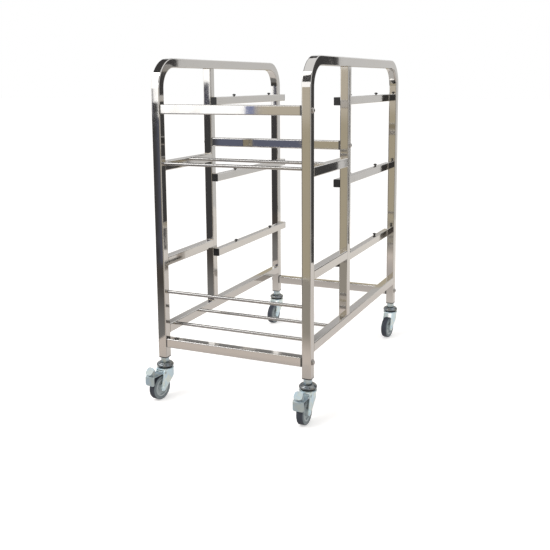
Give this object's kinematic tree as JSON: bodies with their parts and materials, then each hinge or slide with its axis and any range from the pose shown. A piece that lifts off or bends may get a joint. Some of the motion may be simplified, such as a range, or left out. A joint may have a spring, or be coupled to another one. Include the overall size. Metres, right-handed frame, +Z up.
{
  "type": "bussing trolley",
  "caption": "Open bussing trolley of square steel tube with bin runners, rod shelves and swivel castors, the front ones braked.",
  "frame": {"origin": "on the floor, under the middle of the bounding box at rest", "axes": "+Z up, -Y towards the front with the braked castors and the rod shelves, +X to the right seen from the front"},
  "size_m": [0.5338, 0.969, 1.04],
  "materials": {
    "stainless_tube": "bright polished stainless steel",
    "bolt_steel": "plain stainless steel",
    "zinc_plate": "bright zinc plate with a blue tint",
    "pedal_zinc": "satin zinc plate",
    "plain_steel": "ground steel",
    "grey_rubber": "smooth grey rubber",
    "wheel_plastic": "moulded grey plastic",
    "black_plastic": "moulded black plastic",
    "stud_plastic": "moulded dark plastic"
  },
  "bodies": {
    "frame": {"left_side_frame": "stainless_tube", "left_middle_post": "stainless_tube", "left_bottom_rail": "stainless_tube", "left_lower_rail": "stainless_tube", "left_shelf_rail": "stainless_tube", "left_top_runner": "stainless_tube", "left_middle_runner": "stainless_tube", "left_bottom_runner": "stainless_tube", "right_side_frame": "stainless_tube", "right_middle_post": "stainless_tube", "right_bottom_rail": "stainless_tube", "right_lower_rail": "stainless_tube", "right_shelf_rail": "stainless_tube", "right_top_runner": "stainless_tube", "right_middle_runner": "stainless_tube", "right_bottom_runner": "stainless_tube", "upper_front_bar": "stainless_tube", "middle_stop_bar": "stainless_tube", "lower_front_bar": "stainless_tube", "lower_back_bar": "stainless_tube", "front_guard_rod": "stainless_tube", "shelf_front_rod": "stainless_tube", "shelf_back_rod": "stainless_tube", "floor_front_rod": "stainless_tube", "floor_back_rod": "stainless_tube", "runner_end_caps": "black_plastic", "stop_studs": "stud_plastic", "bar_end_plugs": "black_plastic", "bar_plug_nuts": "plain_steel", "frame_bolts": "bolt_steel", "frame_washers": "bolt_steel", "foot_inserts": "black_plastic", "castor_stems": "zinc_plate", "castor_stem_nuts": "zinc_plate", "castor_head_races": "zinc_plate", "castor_balls": "plain_steel"},
    "fork_front_left": {"castor_fork_front_left": "zinc_plate", "castor_axle_front_left": "zinc_plate", "castor_bush_front_left": "plain_steel", "brake_pin_front_left": "zinc_plate"},
    "wheel_front_left": {"castor_wheel_front_left": "wheel_plastic", "castor_tyre_front_left": "grey_rubber"},
    "brake_front_left": {"brake_lever_front_left": "pedal_zinc"},
    "fork_front_right": {"castor_fork_front_right": "zinc_plate", "castor_axle_front_right": "zinc_plate", "castor_bush_front_right": "plain_steel", "brake_pin_front_right": "zinc_plate"},
    "wheel_front_right": {"castor_wheel_front_right": "wheel_plastic", "castor_tyre_front_right": "grey_rubber"},
    "brake_front_right": {"brake_lever_front_right": "pedal_zinc"},
    "fork_back_left": {"castor_fork_back_left": "zinc_plate", "castor_axle_back_left": "zinc_plate", "castor_bush_back_left": "plain_steel"},
    "wheel_back_left": {"castor_wheel_back_left": "wheel_plastic", "castor_tyre_back_left": "grey_rubber"},
    "fork_back_right": {"castor_fork_back_right": "zinc_plate", "castor_axle_back_right": "zinc_plate", "castor_bush_back_right": "plain_steel"},
    "wheel_back_right": {"castor_wheel_back_right": "wheel_plastic", "castor_tyre_back_right": "grey_rubber"}
  },
  "joints": [
    {"name": "swivel_front_left", "type": "hinge", "parent": "frame", "child": "fork_front_left", "pos_m": [-0.23614, -0.4035, 0.094], "axis": [0, 0, 1], "continuous": true},
    {"name": "spin_front_left", "type": "hinge", "parent": "fork_front_left", "child": "wheel_front_left", "pos_m": [-0.24076, -0.43112, 0.0375], "axis": [0.9863, -0.165, 0], "continuous": true},
    {"name": "pedal_front_left", "type": "hinge", "parent": "fork_front_left", "child": "brake_front_left", "pos_m": [-0.23944, -0.42323, 0.083], "axis": [0.9863, -0.165, 0], "range_deg": [0, 6]},
    {"name": "swivel_front_right", "type": "hinge", "parent": "frame", "child": "fork_front_right", "pos_m": [0.24086, -0.4035, 0.094], "axis": [0, 0, 1], "continuous": true},
    {"name": "spin_front_right", "type": "hinge", "parent": "fork_front_right", "child": "wheel_front_right", "pos_m": [0.24062, -0.4315, 0.0375], "axis": [1, -0.0087, 0], "continuous": true},
    {"name": "pedal_front_right", "type": "hinge", "parent": "fork_front_right", "child": "brake_front_right", "pos_m": [0.24069, -0.4235, 0.083], "axis": [1, -0.0087, 0], "range_deg": [0, 6]},
    {"name": "swivel_back_left", "type": "hinge", "parent": "frame", "child": "fork_back_left", "pos_m": [-0.23614, 0.4585, 0.094], "axis": [0, 0, 1], "continuous": true},
    {"name": "spin_back_left", "type": "hinge", "parent": "fork_back_left", "child": "wheel_back_left", "pos_m": [-0.23785, 0.43055, 0.0375], "axis": [0.9981, -0.061, 0], "continuous": true},
    {"name": "swivel_back_right", "type": "hinge", "parent": "frame", "child": "fork_back_right", "pos_m": [0.24086, 0.4585, 0.094], "axis": [0, 0, 1], "continuous": true},
    {"name": "spin_back_right", "type": "hinge", "parent": "fork_back_right", "child": "wheel_back_right", "pos_m": [0.23769, 0.43068, 0.0375], "axis": [0.9936, -0.1132, 0], "continuous": true}
  ]
}
